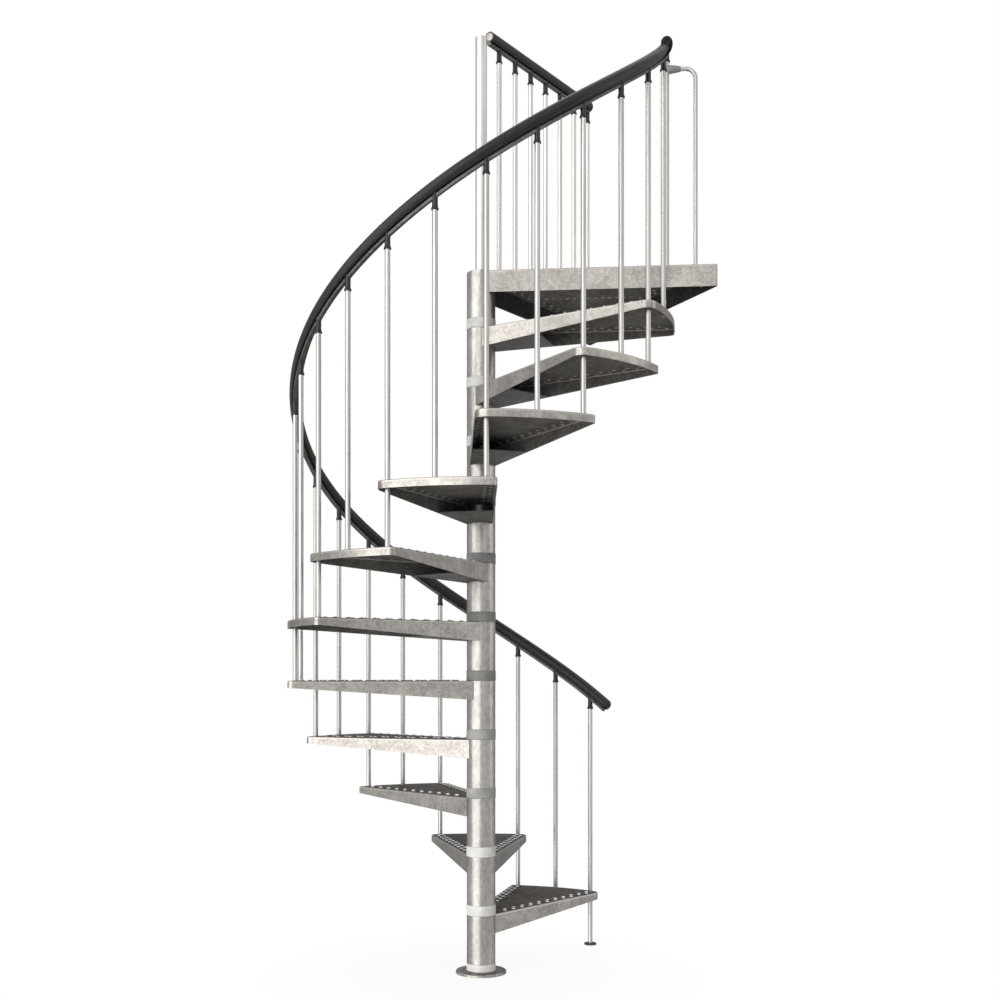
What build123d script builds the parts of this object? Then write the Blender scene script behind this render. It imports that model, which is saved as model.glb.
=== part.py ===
"""Galvanised spiral staircase: eleven pressed treads and a landing round a centre column.

Millimetres, +Z up. The origin is at the centre of the base flange's underside, on the axis of the
column. The stair climbs counter-clockwise seen from above, and the landing's straight outer edge,
which bolts to the upper floor, faces +X.
"""
from build123d import *
import math
import os

# The flight
tread_count = 11
riser = 215.0              # height from one tread top to the next
landing_rise = 210.0       # from the last tread's top to the landing's
tread_turn = 27.8          # degrees from one tread to the next
baluster_circle = 678.0    # radius of the circle on which the flight's balusters stand

# Column
hub_radius = 52.5          # outside of the tube that each tread carries
hub_bore = 50.0
ring_radius = 54.0
ring_height = 37.0         # spacer ring between two hubs
pole_radius = 49.0
pole_wall = 4.0
pole_cap = 8.0             # thickness of the disc that closes the pole
newel_radius = 21.0
newel_wall = 2.5
newel_chamfer = 1.5
newel_clearance = 0.5

# Base flange
flange_radius = 93.0
flange_thickness = 10.0
flange_chamfer = 2.0
flange_bolt_circle = 75.0
flange_bolt_hole = 12.0
flange_bolt_count = 4
flange_bolt_turn = 45.0    # degrees from +X to the first bolt

# Treads, pressed from sheet and open below
sheet = 3.0
rim_depth = 27.0           # depth of the rim at the outer end
root_depth = 68.0          # depth of the side flanges at the hub
root_half_width = 48.0     # from the tread's middle line to its side, at the hub
tread_reach = 28.0         # sheet beyond the baluster circle
nosing_margin = 36.5       # sheet beside the nosing's baluster
rear_margin = 35.0         # the same on the tread's other side
nosing_corner = 40.0
rear_corner = 18.0
closing_plate_end = 250.0  # from the axis to the straight edge of the plate under the hub end

# Landing
landing_half_angle = 30.0
landing_depth = 80.0
landing_root_half = 42.0   # half width at the hub
landing_margin = 48.0      # sheet beyond the gap rod, towards the upper floor
landing_corner = 6.0
hub_lid = 8.0              # plate that closes the landing's hub round the newel post
fixing_hole = 13.0
fixing_pitch = 240.0
fixing_count = 4
fixing_drop = 50.0         # from the landing's top to the fixing holes

# Balusters
baluster_radius = 9.0
hole_clearance = 1.0
foot_radius = 25.0
foot_height = 7.0

# Handrails: heights are over the line through the nosings, measured upright
rail_height = 818.0        # to the middle of the rounded body
rail_radius = 21.0         # rounded top of the body
rail_chords = 8            # flats round the top, each within half a millimetre of the arc
rail_waist = 9.5           # from the body's middle down to the break in its lower side
rail_waist_half = 19.0     # half width at that break
rail_belly = 18.0          # from the body's middle to its flat underside
rail_foot_half = 14.0      # half width of that underside
lip_half = 7.0             # half width of the strip under the body
lip_bottom = 30.5          # from the body's middle to the strip's underside
rail_lead = 0.248          # part of a tread's turn from the first baluster down to the rounded end
rail_tail = 0.0            # the same past the last baluster

# Baluster caps
cap_bottom = 745.0         # over the nosing line
cap_radius = 9.5
cap_flare = 12.5           # radius of the collar on the baluster's end
cap_flare_height = 12.0
cap_seat_gap = 0.3         # under the rail's body
cap_slot_gap = 0.4         # round the rail's strip

# Landing rail, straight along the landing's edge from the newel post
landing_rail_height = 892.0
landing_cap_bottom = 819.0
newel_height = 870.0
landing_post_count = 7
landing_rail_start = 53.0  # from the axis
landing_rail_inset = 42.5  # from the rail's far end to the landing's corner, along the rail
landing_post_first = 118.0 # from the axis to the first of the landing's balusters, along the rail
landing_post_inset = 70.0  # from the last of them to the landing's corner, along the rail
bracket_radius = 17.0      # domed button on the rail's near end
bracket_rim = 4.0
bracket_chamfer = 3.0

# Gap rod: closes the space between the last baluster and the upper floor
rod_radius = 7.5
rod_gap = 104.0            # from the last baluster to the rod
rod_height = 723.0         # middle of the level stretch, over the landing
rod_bend = 37.0
collar_length = 50.0       # from the last baluster's axis
collar_back = 14.0         # behind that axis
collar_radius = 15.0
collar_small_radius = 9.5
collar_straight = 16.0     # from the baluster's axis to where the collar starts to taper
collar_fit = 0.3

# Places that follow from the sizes above
landing_top = tread_count * riser + landing_rise
tread_radius = baluster_circle + tread_reach
half_turn = tread_turn / 2
last_angle = -landing_half_angle
root_along = math.sqrt(hub_radius ** 2 - root_half_width ** 2)
rod_circle = baluster_circle + rod_gap
landing_edge = rod_circle * math.cos(math.radians(landing_half_angle)) + landing_margin
landing_side = landing_edge / math.cos(math.radians(landing_half_angle))
climb = math.atan2(riser, baluster_circle * math.radians(tread_turn))

os.makedirs("parts", exist_ok=True)


def angle_at(step):
    """Degrees round the axis at a nosing: 1 is the first tread's, tread_count + 1 the landing's."""
    return last_angle - (tread_count + 1 - step) * tread_turn


def on_circle(radius, degrees, height):
    """Point at a radius, an angle and a height."""
    turn = math.radians(degrees)
    return (radius * math.cos(turn), radius * math.sin(turn), height)


def upright(radius, bottom, top, spot):
    """Round bar standing on an (x, y) spot."""
    with BuildPart() as bar:
        with BuildSketch(Plane.XY.offset(bottom)):
            with Locations(spot):
                Circle(radius)
        extrude(amount=top - bottom)
    return bar.part


# Base flange: a turned disc, bolted to the floor, that the pole is welded to
with BuildPart() as base_flange:
    Cylinder(flange_radius, flange_thickness, align=(Align.CENTER, Align.CENTER, Align.MIN))
    chamfer(base_flange.edges().group_by(Axis.Z)[-1], flange_chamfer)
    with Locations((0, 0, flange_thickness)):
        with PolarLocations(flange_bolt_circle, flange_bolt_count, start_angle=flange_bolt_turn):
            Hole(flange_bolt_hole / 2)
base_flange.part.label = "base_flange"
export_step(base_flange.part, "parts/base_flange.step")

# Centre pole: the tube inside the hubs, closed at its top by a disc that the newel post stands on
pole_top = landing_top - hub_lid
with BuildPart() as centre_pole:
    with BuildSketch(Plane.XY.offset(flange_thickness)):
        Circle(pole_radius)
    extrude(amount=pole_top - flange_thickness)
    with BuildSketch(Plane.XY.offset(flange_thickness)):
        Circle(pole_radius - pole_wall)
    extrude(amount=pole_top - pole_cap - flange_thickness, mode=Mode.SUBTRACT)
centre_pole.part.label = "centre_pole"
export_step(centre_pole.part, "parts/centre_pole.step")

# Spacer rings: one under each hub, the lowest of them on the base flange
with BuildPart() as spacer_rings:
    for step in range(tread_count + 1):
        ring_bottom = max(step * riser, flange_thickness)
        ring_top = step * riser + ring_height
        with BuildSketch(Plane.XY.offset(ring_bottom)):
            Circle(ring_radius)
            Circle(hub_bore, mode=Mode.SUBTRACT)
        extrude(amount=ring_top - ring_bottom)
spacer_rings.part.label = "spacer_rings"
export_step(spacer_rings.part, "parts/spacer_rings.step")

# One tread, its top at height 0 and its middle line along +X. The nosing is on the -Y side.
corner_along = baluster_circle * math.cos(math.radians(half_turn))
corner_across = baluster_circle * math.sin(math.radians(half_turn))
side_run = math.hypot(corner_along - root_along, corner_across - root_half_width)
side_angle = math.atan2(corner_across - root_half_width, corner_along - root_along)
nosing_angle = side_angle + math.asin(nosing_margin / side_run)
rear_angle = side_angle + math.asin(rear_margin / side_run)
flange_slope = (root_depth - rim_depth) / (corner_along - hub_radius)
root_bottom = root_depth + flange_slope * hub_radius
hub_length = riser - ring_height
landing_hub_length = landing_rise - ring_height

with BuildSketch() as tread_outline:
    with BuildLine():
        Polyline(
            (root_along, -root_half_width),
            (root_along + tread_radius * math.cos(nosing_angle),
             -root_half_width - tread_radius * math.sin(nosing_angle)),
            (root_along + tread_radius * math.cos(rear_angle),
             root_half_width + tread_radius * math.sin(rear_angle)),
            (root_along, root_half_width),
            close=True,
        )
    make_face()
    Circle(tread_radius, mode=Mode.INTERSECT)
    outer_corners = tread_outline.vertices().sort_by(Axis.X)[-2:].sort_by(Axis.Y)
    fillet(outer_corners[0], nosing_corner)
    fillet(tread_outline.vertices().group_by(Axis.Y)[-1], rear_corner)

# The hollow under the sheet, less the plate that closes the hub end
with BuildPart() as tread_hollow:
    with BuildSketch(Plane.XY.offset(-sheet)):
        offset(tread_outline.sketch, -sheet, kind=Kind.INTERSECTION)
    extrude(amount=-root_bottom)
    with BuildSketch(Plane.XZ):
        with BuildLine():
            Polyline(
                (0, -root_bottom),
                (closing_plate_end, -root_bottom + flange_slope * closing_plate_end),
                (closing_plate_end, -root_bottom + flange_slope * closing_plate_end + sheet),
                (0, -root_bottom + sheet),
                close=True,
            )
        make_face()
    extrude(amount=tread_radius, both=True, mode=Mode.SUBTRACT)

with BuildPart() as tread_blank:
    with BuildSketch():
        add(tread_outline.sketch)
    extrude(amount=-root_bottom)
    with BuildSketch(Plane.XZ):
        with BuildLine():
            Polyline(
                (0, -root_bottom),
                (corner_along, -rim_depth),
                (tread_radius + 1, -rim_depth),
                (tread_radius + 1, -root_bottom - 1),
                (0, -root_bottom - 1),
                close=True,
            )
        make_face()
    extrude(amount=tread_radius, both=True, mode=Mode.SUBTRACT)
    add(tread_hollow.part, mode=Mode.SUBTRACT)
    with Locations((0, 0, -hub_length)):
        Cylinder(hub_radius, hub_length, align=(Align.CENTER, Align.CENTER, Align.MIN))
        Cylinder(hub_bore, hub_length, align=(Align.CENTER, Align.CENTER, Align.MIN),
                 mode=Mode.SUBTRACT)
    with Locations((corner_along, -corner_across, 0)):
        Hole(baluster_radius + hole_clearance)

for step in range(1, tread_count + 1):
    middle = angle_at(step + 0.5)
    with BuildPart() as tread:
        with Locations(Location((0, 0, step * riser), (0, 0, middle))):
            add(tread_blank.part)
    tread.part.label = f"tread_{step:02d}"
    export_step(tread.part, f"parts/tread_{step:02d}.step")

# Landing: a deep pressed tray on the last hub, with its sides square to the rails
along = Vector(math.cos(math.radians(landing_half_angle)), math.sin(math.radians(landing_half_angle)))
across = Vector(-along.Y, along.X)
landing_root_along = math.sqrt(hub_radius ** 2 - landing_root_half ** 2)
landing_root = along * landing_root_along + across * landing_root_half
side_length = (landing_edge - landing_root.X) / along.X
landing_corner_point = landing_root + along * side_length
with BuildSketch() as landing_outline:
    with BuildLine():
        Polyline(
            (landing_root.X, -landing_root.Y),
            (landing_corner_point.X, -landing_corner_point.Y),
            (landing_corner_point.X, landing_corner_point.Y),
            (landing_root.X, landing_root.Y),
            close=True,
        )
    make_face()
    fillet(landing_outline.vertices().group_by(Axis.X)[-1], landing_corner)

with BuildPart() as landing:
    with BuildSketch(Plane.XY.offset(landing_top)):
        add(landing_outline.sketch)
    extrude(amount=-landing_depth)
    with BuildSketch(Plane.XY.offset(landing_top - sheet)):
        offset(landing_outline.sketch, -sheet)
    extrude(amount=-landing_depth, mode=Mode.SUBTRACT)
    with Locations((0, 0, landing_top - landing_hub_length)):
        Cylinder(hub_radius, landing_hub_length, align=(Align.CENTER, Align.CENTER, Align.MIN))
        Cylinder(hub_bore, landing_hub_length - hub_lid, align=(Align.CENTER, Align.CENTER, Align.MIN),
                 mode=Mode.SUBTRACT)
        Cylinder(newel_radius + newel_clearance, landing_hub_length,
                 align=(Align.CENTER, Align.CENTER, Align.MIN), mode=Mode.SUBTRACT)
    with BuildSketch(Plane.YZ.offset(landing_edge - landing_corner)):
        with Locations((0, landing_top - fixing_drop)):
            with GridLocations(fixing_pitch, 0, fixing_count, 1):
                Circle(fixing_hole / 2)
    extrude(amount=2 * landing_corner, mode=Mode.SUBTRACT)
landing.part.label = "landing"
export_step(landing.part, "parts/landing.step")

# Newel post: stands on the pole's disc, through the landing's hub, up to the landing rail
newel_top = landing_top + newel_height
with BuildPart() as newel_post:
    add(upright(newel_radius, pole_top, newel_top, (0, 0)))
    chamfer(newel_post.edges().group_by(Axis.Z)[-1], newel_chamfer)
    add(upright(newel_radius - newel_wall, pole_top, newel_top - newel_wall, (0, 0)), mode=Mode.SUBTRACT)
newel_post.part.label = "newel_post"
export_step(newel_post.part, "parts/newel_post.step")


# Balusters. Each nosing's stands on the tread below and passes through its own tread.
def baluster(step, bottom):
    """The baluster at a nosing, or at a tread's middle where step ends in a half, up to its cap."""
    spot = on_circle(baluster_circle, angle_at(step), 0)
    return upright(baluster_radius, bottom, step * riser + cap_bottom, spot[:2])


for step in range(1, tread_count + 2):
    bottom = (step - 1) * riser
    if step == tread_count + 1:
        bottom = landing_top
    with BuildPart() as nosing_baluster:
        add(baluster(step, bottom))
        if step == 1:
            with Locations(on_circle(baluster_circle, angle_at(1), 0)):
                Cylinder(foot_radius, foot_height, align=(Align.CENTER, Align.CENTER, Align.MIN))
    nosing_baluster.part.label = f"nosing_baluster_{step:02d}"
    export_step(nosing_baluster.part, f"parts/nosing_baluster_{step:02d}.step")

for step in range(1, tread_count + 1):
    with BuildPart() as middle_baluster:
        add(baluster(step + 0.5, step * riser))
    middle_baluster.part.label = f"middle_baluster_{step:02d}"
    export_step(middle_baluster.part, f"parts/middle_baluster_{step:02d}.step")

# Handrail section: X towards the column, Y square to the rail and upwards. A round-topped body that
# narrows below stands on a strip. The round is drawn as chords, which keeps the helical faces light.
chord_angles = [math.pi * chord / rail_chords for chord in range(rail_chords + 1)]
lower_side = [(rail_waist_half, -rail_waist), (rail_foot_half, -rail_belly), (lip_half, -rail_belly),
              (lip_half, -lip_bottom)]
with BuildSketch() as rail_section:
    with BuildLine():
        Polyline(
            *[(-x, y) for x, y in reversed(lower_side)],
            *[(-rail_radius * math.cos(angle), rail_radius * math.sin(angle)) for angle in chord_angles],
            *lower_side,
            close=True,
        )
    make_face()

# Half of the section, turned about its upright line, rounds off each end
with BuildSketch() as rail_half_section:
    add(rail_section.sketch)
    with Locations((-rail_radius, 0)):
        Rectangle(2 * rail_radius, 4 * rail_radius, mode=Mode.SUBTRACT)


def rail_end(plane):
    """Rounded end of a rail on the plane of its end section."""
    with BuildPart() as end:
        with BuildSketch(plane):
            add(rail_half_section.sketch)
        revolve(axis=Axis(plane.origin, plane.y_dir), revolution_arc=180)
    return end.part


# Stair handrail: the section swept along the helix over the balusters
rail_turn = tread_count + rail_lead + rail_tail
rail_path = Helix(
    pitch=riser * 360 / tread_turn,
    height=rail_turn * riser,
    radius=baluster_circle,
)
low_tangent = rail_path % 0
high_tangent = rail_path % 1
high_point = rail_path @ 1
low_plane = Plane(origin=rail_path @ 0, x_dir=(-1, 0, 0), z_dir=low_tangent)
high_plane = Plane(origin=high_point, x_dir=(high_point.X, high_point.Y, 0), z_dir=high_tangent * -1)
with BuildPart() as stair_rail_blank:
    with BuildSketch(low_plane):
        add(rail_section.sketch)
    sweep(path=rail_path, is_frenet=True)
    add(rail_end(low_plane))
    add(rail_end(high_plane))
with BuildPart() as stair_handrail:
    with Locations(Location((0, 0, (1 - rail_lead) * riser + rail_height), (0, 0, angle_at(1 - rail_lead)))):
        add(stair_rail_blank.part)
stair_handrail.part.label = "stair_handrail"
export_step(stair_handrail.part, "parts/stair_handrail.step")

# Landing handrail: the same section, level, beside the newel post
rail_level = landing_top + landing_rail_height
rail_far = landing_side - landing_rail_inset - rail_radius
rail_start_point = along * landing_rail_start + Vector(0, 0, rail_level)
rail_end_point = along * rail_far + Vector(0, 0, rail_level)
with BuildPart() as landing_handrail:
    with BuildSketch(Plane(origin=rail_start_point, x_dir=across, z_dir=along)):
        add(rail_section.sketch)
    extrude(amount=rail_far - landing_rail_start)
    add(rail_end(Plane(origin=rail_end_point, x_dir=across * -1, z_dir=along * -1)))
landing_handrail.part.label = "landing_handrail"
export_step(landing_handrail.part, "parts/landing_handrail.step")


def cap_blank(slope, middle_height):
    """Cap that stands on a baluster at height 0, forked over the strip of a rail that climbs along +Y.

    The rail's middle passes middle_height over the cap's own axis.
    """
    rise = math.tan(slope)
    seat = middle_height - rail_belly / math.cos(slope) - cap_seat_gap
    slot = middle_height - lip_bottom / math.cos(slope) - cap_slot_gap
    reach = 2 * cap_flare
    with BuildPart() as cap:
        with BuildSketch(Plane.XZ):
            with BuildLine():
                Polyline(
                    (0, 0),
                    (cap_flare, 0),
                    (cap_radius, cap_flare_height),
                    (cap_radius, seat + reach),
                    (0, seat + reach),
                    close=True,
                )
            make_face()
        revolve(axis=Axis.Z)
        for height, half in ((seat, reach), (slot, lip_half + cap_slot_gap)):
            with BuildSketch(Plane.YZ):
                with BuildLine():
                    Polyline(
                        (-reach, height - reach * rise),
                        (reach, height + reach * rise),
                        (reach, seat + 3 * reach),
                        (-reach, seat + 3 * reach),
                        close=True,
                    )
                make_face()
            extrude(amount=half, both=True, mode=Mode.SUBTRACT)
    return cap.part


# Caps of the flight's balusters: moulded, each forked over the rail's strip at the rail's slope
stair_cap = cap_blank(climb, rail_height - cap_bottom)
with BuildPart() as baluster_caps:
    for half_step in range(2, 2 * (tread_count + 1) + 1):
        step = half_step / 2
        spot = on_circle(baluster_circle, angle_at(step), step * riser + cap_bottom)
        with Locations(Location(spot, (0, 0, angle_at(step)))):
            add(stair_cap)
baluster_caps.part.label = "baluster_caps"
export_step(baluster_caps.part, "parts/baluster_caps.step")

# Landing balusters and their caps, evenly spaced along the landing's edge
post_last = landing_side - landing_post_inset
post_pitch = (post_last - landing_post_first) / (landing_post_count - 1)
post_spots = []
for post in range(landing_post_count):
    post_point = along * (landing_post_first + post * post_pitch)
    post_spots.append((post_point.X, post_point.Y))
with BuildPart() as landing_balusters:
    for spot in post_spots:
        add(upright(baluster_radius, landing_top, landing_top + landing_cap_bottom, spot))
landing_balusters.part.label = "landing_balusters"
export_step(landing_balusters.part, "parts/landing_balusters.step")

level_cap = cap_blank(0, landing_rail_height - landing_cap_bottom)
with BuildPart() as landing_caps:
    for spot in post_spots:
        place = (spot[0], spot[1], landing_top + landing_cap_bottom)
        with Locations(Location(place, (0, 0, landing_half_angle - 90))):
            add(level_cap)
landing_caps.part.label = "landing_caps"
export_step(landing_caps.part, "parts/landing_caps.step")

# Bracket: a flat bar from the newel post into the rail's strip, with a button that closes the rail's
# near end
with BuildPart() as landing_rail_bracket:
    button_plane = Plane(origin=rail_start_point, x_dir=across, z_dir=along * -1)
    with BuildSketch(button_plane):
        Circle(bracket_radius)
    extrude(amount=bracket_rim)
    rim_edges = landing_rail_bracket.edges().filter_by(GeomType.CIRCLE).sort_by(Axis(rail_start_point, along))
    chamfer(rim_edges[0], bracket_chamfer)
    with BuildSketch(Plane(origin=along * newel_radius + Vector(0, 0, rail_level), x_dir=across, z_dir=along)):
        with Locations((0, -(rail_belly + lip_bottom) / 2)):
            Rectangle(2 * lip_half, lip_bottom - rail_belly)
    extrude(amount=landing_rail_start - newel_radius)
landing_rail_bracket.part.label = "landing_rail_bracket"
export_step(landing_rail_bracket.part, "parts/landing_rail_bracket.step")

# Gap rod: bent from round bar, standing on the landing, with its end against the collar on the last baluster
out = Vector(math.cos(math.radians(last_angle)), math.sin(math.radians(last_angle)))
up = Vector(0, 0, 1)
rod_level = landing_top + rod_height
rod_foot_point = out * rod_circle + up * landing_top
with BuildPart() as gap_rod:
    with BuildLine() as rod_line:
        FilletPolyline(
            rod_foot_point,
            out * rod_circle + up * rod_level,
            out * (baluster_circle + collar_length) + up * rod_level,
            radius=rod_bend,
        )
    with BuildSketch(Plane(origin=rod_foot_point, z_dir=up)):
        Circle(rod_radius)
    sweep()
gap_rod.part.label = "gap_rod"
export_step(gap_rod.part, "parts/gap_rod.step")

# Collar: a turned clamp, bored upright for the baluster
collar_plane = Plane(origin=out * baluster_circle + up * rod_level, x_dir=out, z_dir=(-out.Y, out.X, 0))
with BuildPart() as gap_rod_collar:
    with BuildSketch(collar_plane):
        with BuildLine():
            Polyline(
                (-collar_back, 0),
                (-collar_back, collar_radius),
                (collar_straight, collar_radius),
                (collar_length, collar_small_radius),
                (collar_length, 0),
                close=True,
            )
        make_face()
    revolve(axis=Axis(collar_plane.origin, out))
    with BuildSketch(Plane(origin=collar_plane.origin - up * collar_radius, z_dir=up)):
        Circle(baluster_radius + collar_fit)
    extrude(amount=2 * collar_radius, mode=Mode.SUBTRACT)
gap_rod_collar.part.label = "gap_rod_collar"
export_step(gap_rod_collar.part, "parts/gap_rod_collar.step")
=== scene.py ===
"""Looks of a galvanised spiral staircase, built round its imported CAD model.

Metres, +Z up, in the CAD model's own frame. The pieces' sizes are in millimetres, as on a maker's
drawing, and each piece is scaled to metres when it is fitted. The camera's and the studio's are in metres.
The sections follow the stair as it is put together, from the base flange up to the landing.
"""

import math

import bmesh
import bpy
from mathutils import Matrix, Vector


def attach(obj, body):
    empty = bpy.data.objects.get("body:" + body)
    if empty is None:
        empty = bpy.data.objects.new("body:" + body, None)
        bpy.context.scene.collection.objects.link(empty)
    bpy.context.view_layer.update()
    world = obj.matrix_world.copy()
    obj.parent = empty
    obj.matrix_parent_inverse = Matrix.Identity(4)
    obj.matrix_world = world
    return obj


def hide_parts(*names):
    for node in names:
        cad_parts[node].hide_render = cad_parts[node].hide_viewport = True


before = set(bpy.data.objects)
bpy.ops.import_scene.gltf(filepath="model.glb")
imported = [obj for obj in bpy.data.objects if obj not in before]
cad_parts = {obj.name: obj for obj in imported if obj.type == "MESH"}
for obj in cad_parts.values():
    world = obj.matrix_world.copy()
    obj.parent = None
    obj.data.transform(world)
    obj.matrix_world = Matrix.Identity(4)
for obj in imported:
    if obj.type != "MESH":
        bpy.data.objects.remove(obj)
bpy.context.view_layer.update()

# Camera. The picture was taken level, from about a metre up, with the lens shifted so that the whole
# stair stands upright in it. The place and lens come from a fit to the balusters and tread edges.
camera_place = (-2.0243, -4.3810, 1.0803)
camera_turn = -24.8

camera_lens = bpy.data.cameras.new("picture_camera")
camera_lens.sensor_width = 36.0
camera_lens.lens = 47.149
camera_lens.shift_x = 0.0189
camera_lens.shift_y = 0.1793
camera = bpy.data.objects.new("picture_camera", camera_lens)
camera.location = camera_place
camera.rotation_euler = (math.radians(90), 0, math.radians(camera_turn))
bpy.context.scene.collection.objects.link(camera)
bpy.context.scene.camera = camera

# Base flange. A turned steel disc, dipped in zinc, that carries the column. Four socket screws with low
# round heads hold it to the floor.
flange_radius = 93.0
flange_thickness = 10.0
flange_chamfer = 2.0
flange_bolt_circle = 75.0
flange_bolt_turn = 45.0
flange_edge_break = 0.5
smooth_below = 35.0
screw_shank_radius = 5.6
screw_shank_depth = 9.0
screw_head_radius = 11.6
screw_head_height = 1.5
screw_socket_radius = 5.0
screw_socket_floor = 0.9


def add_node(tree, kind, **values):
    """A shader node with its inputs set, or linked where a value is another node's output."""
    made = tree.nodes.new("ShaderNode" + kind)
    for name, value in values.items():
        socket = made.inputs[name.replace("_", " ")]
        if isinstance(value, bpy.types.NodeSocket):
            tree.links.new(value, socket)
        else:
            socket.default_value = value
    return made


def mixed(tree, share, first, second, kind="FLOAT"):
    """Two values or two colours mixed, with the second's share given."""
    made = tree.nodes.new("ShaderNodeMix")
    made.data_type = kind
    low = 2 if kind == "FLOAT" else 6
    for index, value in ((0, share), (low, first), (low + 1, second)):
        if isinstance(value, bpy.types.NodeSocket):
            tree.links.new(value, made.inputs[index])
        else:
            made.inputs[index].default_value = value
    return made.outputs[0 if kind == "FLOAT" else 2]


def tone_ramp(tree, tone, low, dull, high, pale):
    """Colours a tone: dull up to low, pale from high, and blended between them."""
    ramp = add_node(tree, "ValToRGB", Fac=tone)
    for element, position, colour in zip(ramp.color_ramp.elements, (low, high), (dull, pale)):
        element.position = position
        element.color = (*colour, 1)
    return ramp.outputs["Color"]


def paler_for_wear_and_sheen(tree, colour, pale, wear_and_sheen_gain):
    """The colour, turning to the pale one times the gain where the mesh's paleness attribute is set. That
    attribute marks wear on outer bends and grip tops, and painted highlight along inner bends, on grip
    tops and in streaks along the rail.
    """
    wear_and_sheen = tree.nodes.new("ShaderNodeAttribute")
    wear_and_sheen.attribute_name = "wear_and_sheen"
    bright = (*[min(1, wear_and_sheen_gain * part) for part in pale], 1)
    return mixed(tree, wear_and_sheen.outputs["Fac"], colour, bright, "RGBA")


def galvanised(name, dull, pale, metallic, rough, stretch=(1, 1, 1), specular=0.5, wear_and_sheen_gain=1.35, grain=0.1):
    """Zinc over steel: cloudy patches, a fine mottle and the faint flakes of the cooled zinc, between a
    dull and a pale tone. It is paler where the mesh's paleness attribute is set: a little for wear on
    outer bends, and a painted highlight where a large gain is given."""
    mottle_share = 0.45
    flake_share = 0.14
    edge_tint = 0.25
    material = bpy.data.materials.new(name)
    material.use_nodes = True
    tree = material.node_tree
    shader = tree.nodes["Principled BSDF"]
    spot = add_node(tree, "TexCoord").outputs["Object"]
    spot = add_node(tree, "Mapping", Vector=spot, Scale=stretch).outputs["Vector"]
    clouds = add_node(tree, "TexNoise", Vector=spot, Scale=13.0, Detail=3.0, Roughness=0.6).outputs["Fac"]
    mottle = add_node(tree, "TexNoise", Vector=spot, Scale=90.0, Detail=5.0, Roughness=0.7).outputs["Fac"]
    flakes = add_node(tree, "TexVoronoi", Vector=spot, Scale=130.0).outputs["Color"]
    flake = add_node(tree, "SeparateColor", Color=flakes).outputs["Red"]
    tone = mixed(tree, mottle_share, clouds, mottle)
    tone = mixed(tree, flake_share, tone, flake)
    colour = tone_ramp(tree, tone, 0.41, dull, 0.60, pale)
    tree.links.new(paler_for_wear_and_sheen(tree, colour, pale, wear_and_sheen_gain), shader.inputs["Base Color"])
    gloss = add_node(tree, "MapRange", Value=mottle, From_Min=0.3, From_Max=0.7,
                     To_Min=rough * 0.93, To_Max=rough * 1.08)
    tree.links.new(gloss.outputs["Result"], shader.inputs["Roughness"])
    pitted = add_node(tree, "Bump", Height=mottle, Strength=grain, Distance=0.0005)
    tree.links.new(pitted.outputs["Normal"], shader.inputs["Normal"])
    shader.inputs["Metallic"].default_value = metallic
    shader.inputs["Specular IOR Level"].default_value = specular
    shader.inputs["Specular Tint"].default_value = (edge_tint, edge_tint, edge_tint, 1)
    return material


def round_of(radius, count):
    """Points spaced evenly round a circle."""
    return [(radius * math.cos(2 * math.pi * i / count), radius * math.sin(2 * math.pi * i / count))
            for i in range(count)]


def turned(shape, profile, place=Matrix(), segments=48, closed=False, slot=0):
    """Adds a turned form: the profile's (radius, height) pairs go once round the place's upright line."""
    rings = []
    for radius, height in profile:
        points = round_of(radius, segments if radius > 0 else 1)
        rings.append([shape.verts.new(place @ Vector((x, y, height))) for x, y in points])
    if closed:
        rings.append(rings[0])
    for low, high in zip(rings, rings[1:]):
        for i in range(segments):
            j = (i + 1) % segments
            if len(low) == 1:
                corners = (low[0], high[j], high[i])
            elif len(high) == 1:
                corners = (low[i], low[j], high[0])
            else:
                corners = (low[i], low[j], high[j], high[i])
            shape.faces.new(corners).material_index = slot


def fit_piece(name, shape, materials, slot, *nodes):
    """Scales a finished form to metres and fits it to the stair, in place of the CAD nodes named."""
    shape.transform(Matrix.Scale(0.001, 4))
    mesh = bpy.data.meshes.new(name)
    shape.to_mesh(mesh)
    shape.free()
    for material in materials:
        mesh.materials.append(material)
    mesh.shade_smooth()
    mesh.set_sharp_from_angle(angle=math.radians(smooth_below))
    piece = bpy.data.objects.new(name, mesh)
    bpy.context.scene.collection.objects.link(piece)
    piece.modifiers.new("even_shading", "WEIGHTED_NORMAL").keep_sharp = True
    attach(piece, "root")
    if nodes:
        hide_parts(*nodes)


dipped_steel = galvanised("dipped_steel", (0.24, 0.224, 0.208), (0.37, 0.348, 0.323), 0.78, 0.30, wear_and_sheen_gain=1.1)
bolt_steel = galvanised("bolt_steel", (0.27, 0.256, 0.24), (0.43, 0.41, 0.385), 0.75, 0.34)

flange = bmesh.new()
turned(flange, [(0, 0), (flange_radius - flange_edge_break, 0), (flange_radius, flange_edge_break),
                (flange_radius, flange_thickness - flange_chamfer),
                (flange_radius - flange_chamfer, flange_thickness), (0, flange_thickness)], segments=96)
fit_piece("base_flange_disc", flange, [dipped_steel], "galvanised_steel", "base_flange")

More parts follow.
